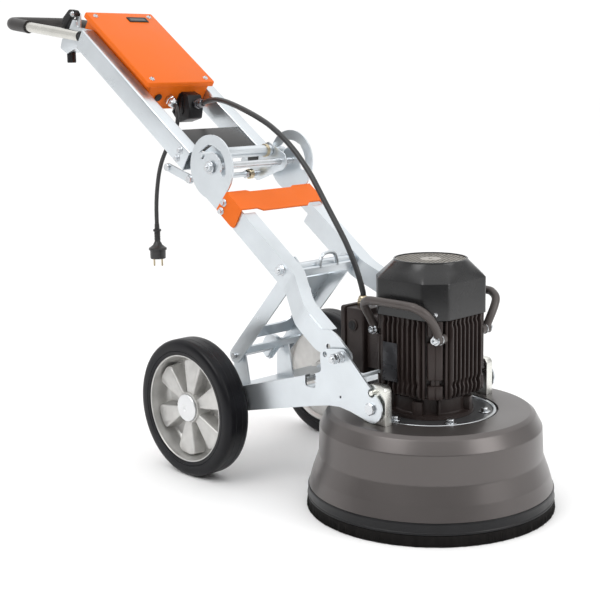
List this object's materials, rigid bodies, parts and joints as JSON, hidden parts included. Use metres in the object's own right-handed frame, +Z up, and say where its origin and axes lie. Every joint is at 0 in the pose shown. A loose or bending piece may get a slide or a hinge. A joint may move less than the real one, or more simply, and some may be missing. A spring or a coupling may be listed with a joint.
{
  "type": "concrete grinder",
  "caption": "Walk-behind planetary floor grinder: tilting grinding head with shroud and motor on a wheeled frame, folding mast and handle, control box and handlebar.",
  "frame": {"origin": "on the floor below the middle of the machine's box", "axes": "+X forward towards the grinding head, +Y to the operator's left, +Z up"},
  "size_m": [1.6038, 0.5, 1.0185],
  "materials": {
    "zinc": "bluish zinc plating, satin",
    "bright_steel": "machined, bright",
    "orange_paint": "powder coat, semi-gloss",
    "shroud_paint": "warm grey paint, satin",
    "motor_paint": "dark brown-grey paint on cast iron",
    "cowl_paint": "dark grey paint, satin",
    "tyre_rubber": "solid rubber tread",
    "wheel_aluminium": "as cast",
    "brush_bristle": "packed nylon bristle",
    "band_plastic": "moulded",
    "black_plastic": "moulded, fine grain",
    "grip_rubber": "soft foam rubber",
    "bar_paint": "grey paint, satin",
    "cable_rubber": "rubber sheath",
    "gland_brass": "nickel-brass, satin",
    "stop_red": "glossy",
    "start_green": "glossy",
    "segment_metal": "sintered segments on a steel plate"
  },
  "bodies": {
    "chassis": {"side_plate_right": "zinc", "side_plate_left": "zinc", "mast_bolt_right": "bright_steel", "mast_bolt_left": "bright_steel", "head_pin_right": "bright_steel", "head_pin_left": "bright_steel", "axle": "bright_steel", "rear_deck": "zinc", "strut_pin": "bright_steel"},
    "wheel_right": {"tyre_right": "tyre_rubber", "rim_right": "wheel_aluminium"},
    "wheel_left": {"tyre_left": "tyre_rubber", "rim_left": "wheel_aluminium"},
    "head": {"shroud": "shroud_paint", "skirt_band": "band_plastic", "brush_ring": "brush_bristle", "gear_housing": "bright_steel", "head_lug_right": "bright_steel", "head_lug_left": "bright_steel", "motor_body": "motor_paint", "fan_cowl": "cowl_paint", "air_grille": "cowl_paint", "terminal_box": "motor_paint", "terminal_lid": "motor_paint", "motor_gland": "gland_brass", "lift_handle_right": "bar_paint", "lift_handle_left": "bar_paint"},
    "rotor": {"rotor_shaft": "bright_steel"},
    "carrier": {"planet_carrier": "wheel_aluminium"},
    "disc_1": {"grinding_disc_1": "segment_metal"},
    "disc_2": {"grinding_disc_2": "segment_metal"},
    "disc_3": {"grinding_disc_3": "segment_metal"},
    "strut": {"strut": "zinc"},
    "mast": {"mast_tube_right": "zinc", "mast_tube_left": "zinc", "index_plate_right": "zinc", "index_plate_left": "zinc", "crossbar": "zinc", "cross_plate": "orange_paint", "fold_pivot_rod": "bright_steel", "motor_cable": "cable_rubber"},
    "handle": {"handle_rail_right": "zinc", "handle_rail_left": "zinc", "cradle": "cowl_paint", "lock_rod": "zinc", "control_box": "orange_paint", "box_lid": "orange_paint", "hour_meter": "black_plastic", "power_gland": "bright_steel", "motor_connector": "black_plastic", "handle_bracket": "zinc", "power_cord": "cable_rubber", "power_plug": "cable_rubber"},
    "release_lever": {"release_lever": "zinc"},
    "handlebar": {"handlebar": "zinc", "hand_grip": "grip_rubber"},
    "clamp_lever": {"clamp_lever": "black_plastic"},
    "emergency_stop": {"emergency_stop": "stop_red"},
    "start_button": {"start_button": "start_green"},
    "speed_knob": {"speed_knob": "black_plastic"}
  },
  "joints": [
    {"name": "wheel_right_spin", "type": "hinge", "parent": "chassis", "child": "wheel_right", "pos_m": [0.06393, -0.2095, 0.15], "axis": [0, 1, 0], "continuous": true},
    {"name": "wheel_left_spin", "type": "hinge", "parent": "chassis", "child": "wheel_left", "pos_m": [0.06393, 0.2095, 0.15], "axis": [0, 1, 0], "continuous": true},
    {"name": "head_tilt", "type": "hinge", "parent": "chassis", "child": "head", "pos_m": [0.55193, 0, 0.229], "axis": [0, 1, 0], "range_deg": [-5, 5], "deforming": ["motor_cable"]},
    {"name": "rotor_spin", "type": "hinge", "parent": "head", "child": "rotor", "pos_m": [0.55193, 0, 0.3], "axis": [0, 0, 1], "continuous": true},
    {"name": "carrier_spin", "type": "hinge", "parent": "head", "child": "carrier", "pos_m": [0.55193, 0, 0.1], "axis": [0, 0, 1], "continuous": true},
    {"name": "disc_1_spin", "type": "hinge", "parent": "carrier", "child": "disc_1", "pos_m": [0.67393, 0, 0.03], "axis": [0, 0, 1], "continuous": true},
    {"name": "disc_2_spin", "type": "hinge", "parent": "carrier", "child": "disc_2", "pos_m": [0.49093, 0.10566, 0.03], "axis": [0, 0, 1], "continuous": true},
    {"name": "disc_3_spin", "type": "hinge", "parent": "carrier", "child": "disc_3", "pos_m": [0.49093, -0.10566, 0.03], "axis": [0, 0, 1], "continuous": true},
    {"name": "mast_fold", "type": "hinge", "parent": "chassis", "child": "mast", "pos_m": [0.47393, 0, 0.317], "axis": [0, 1, 0], "range_deg": [-20, 0], "deforming": ["motor_cable"]},
    {"name": "strut_swing", "type": "hinge", "parent": "chassis", "child": "strut", "pos_m": [0.05493, 0, 0.238], "axis": [0, 1, 0], "range_deg": [0, 20]},
    {"name": "handle_fold", "type": "hinge", "parent": "mast", "child": "handle", "pos_m": [0.03893, 0, 0.659], "axis": [0, 1, 0], "range_deg": [0, 155], "deforming": ["motor_cable"]},
    {"name": "release_lever_swing", "type": "hinge", "parent": "handle", "child": "release_lever", "pos_m": [-0.04054, 0, 0.62878], "axis": [0, -1, 0], "range_deg": [0, 18], "stiffness_Nm_per_rad": 4, "springref_deg": -17.19},
    {"name": "handlebar_tilt", "type": "hinge", "parent": "handle", "child": "handlebar", "pos_m": [-0.47007, 0, 0.9522], "axis": [0, 1, 0], "range_deg": [-25, 25]},
    {"name": "clamp_lever_swing", "type": "hinge", "parent": "handle", "child": "clamp_lever", "pos_m": [-0.51007, -0.0705, 1.006], "axis": [0, 1, 0], "range_deg": [0, 80]},
    {"name": "emergency_stop_press", "type": "slide", "parent": "handle", "child": "emergency_stop", "axis": [0.8171, 0, -0.5764], "range_m": [0, 0.005], "stiffness_N_per_m": 900, "springref_m": -0.003},
    {"name": "start_button_press", "type": "slide", "parent": "handle", "child": "start_button", "axis": [0.8171, 0, -0.5764], "range_m": [0, 0.004], "stiffness_N_per_m": 700, "springref_m": -0.002},
    {"name": "speed_knob_turn", "type": "hinge", "parent": "handle", "child": "speed_knob", "pos_m": [-0.46639, 0.046, 0.98792], "axis": [0.8171, 0, -0.5764], "range_deg": [-135, 135]}
  ],
  "couplings": [
    {"joint": "carrier_spin", "follows": "rotor_spin", "ratio": 0.083333},
    {"joint": "disc_1_spin", "follows": "rotor_spin", "ratio": -0.5},
    {"joint": "disc_2_spin", "follows": "rotor_spin", "ratio": -0.5},
    {"joint": "disc_3_spin", "follows": "rotor_spin", "ratio": -0.5},
    {"joint": "strut_swing", "follows": "mast_fold", "ratio": -1}
  ]
}
